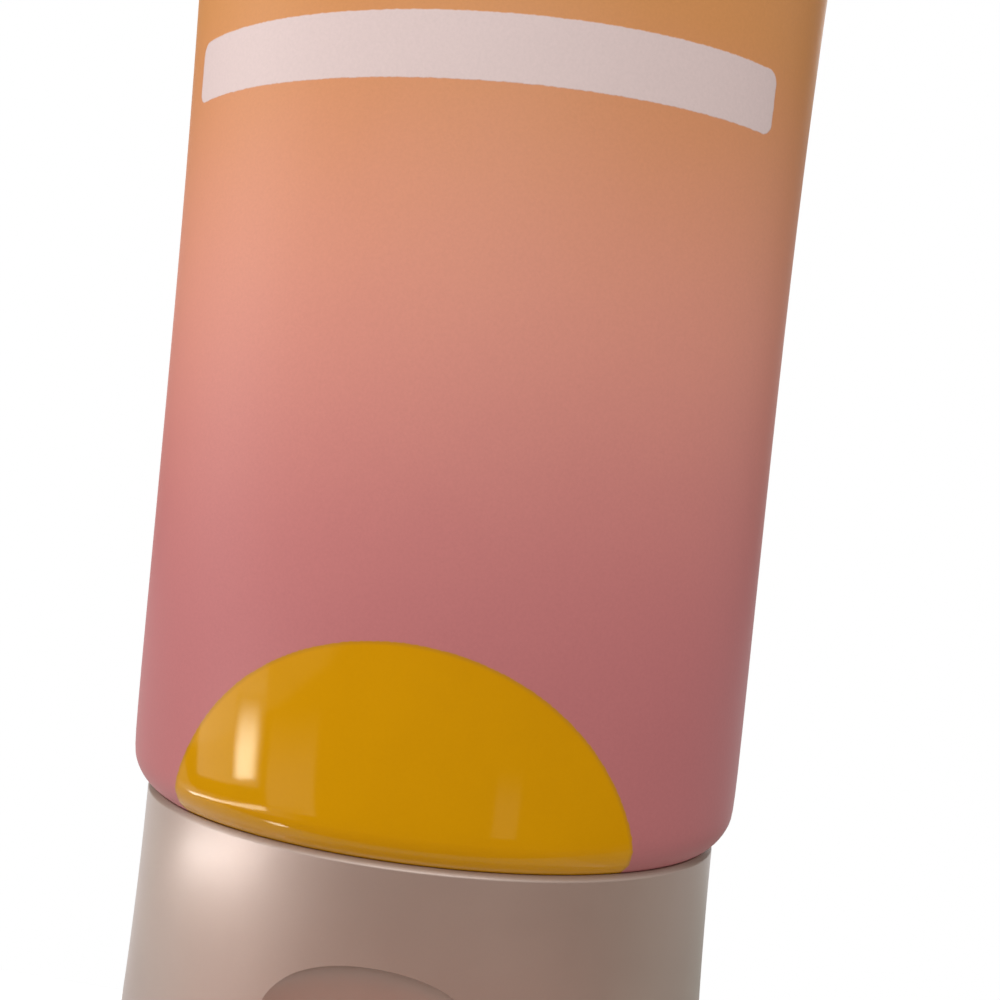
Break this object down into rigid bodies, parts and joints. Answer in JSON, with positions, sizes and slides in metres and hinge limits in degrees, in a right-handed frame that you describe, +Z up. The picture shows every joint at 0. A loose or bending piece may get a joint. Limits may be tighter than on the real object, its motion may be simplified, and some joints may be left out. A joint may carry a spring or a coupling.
{
  "type": "squeeze tube with flip-top cap",
  "caption": "Oval squeeze tube of sunscreen standing on its flip-top cap: printed sleeve welded flat at the top, moulded shoulder and neck, hinged lid.",
  "frame": {"origin": "centre of the lid's flat foot, on the surface the tube stands on", "axes": "+Z up from the foot to the welded seal; the printed front and the thumb scoop face -Y; the hinge is at +Y; +X is to the right as seen from the front"},
  "size_m": [0.0548, 0.0282, 0.1695],
  "materials": {
    "printed_sleeve": "satin print that runs from orange to dusty pink, with a glossy yellow half disc",
    "natural_plastic": "natural, slightly milky",
    "pearl_silver_plastic": "satin pearl silver",
    "lotion_cream": "smooth cream"
  },
  "bodies": {
    "tube": {"tube_sleeve": "printed_sleeve", "tube_shoulder": "natural_plastic", "cap_base": "pearl_silver_plastic", "hinge_film_left": "pearl_silver_plastic", "hinge_film_right": "pearl_silver_plastic", "hinge_spring_strap": "pearl_silver_plastic", "lotion": "lotion_cream"},
    "lid": {"flip_lid": "pearl_silver_plastic"}
  },
  "joints": [
    {"name": "lid_hinge", "type": "hinge", "parent": "tube", "child": "lid", "pos_m": [0, 0.01277, 0.0088], "axis": [1, 0, 0], "range_deg": [0, 125]}
  ]
}
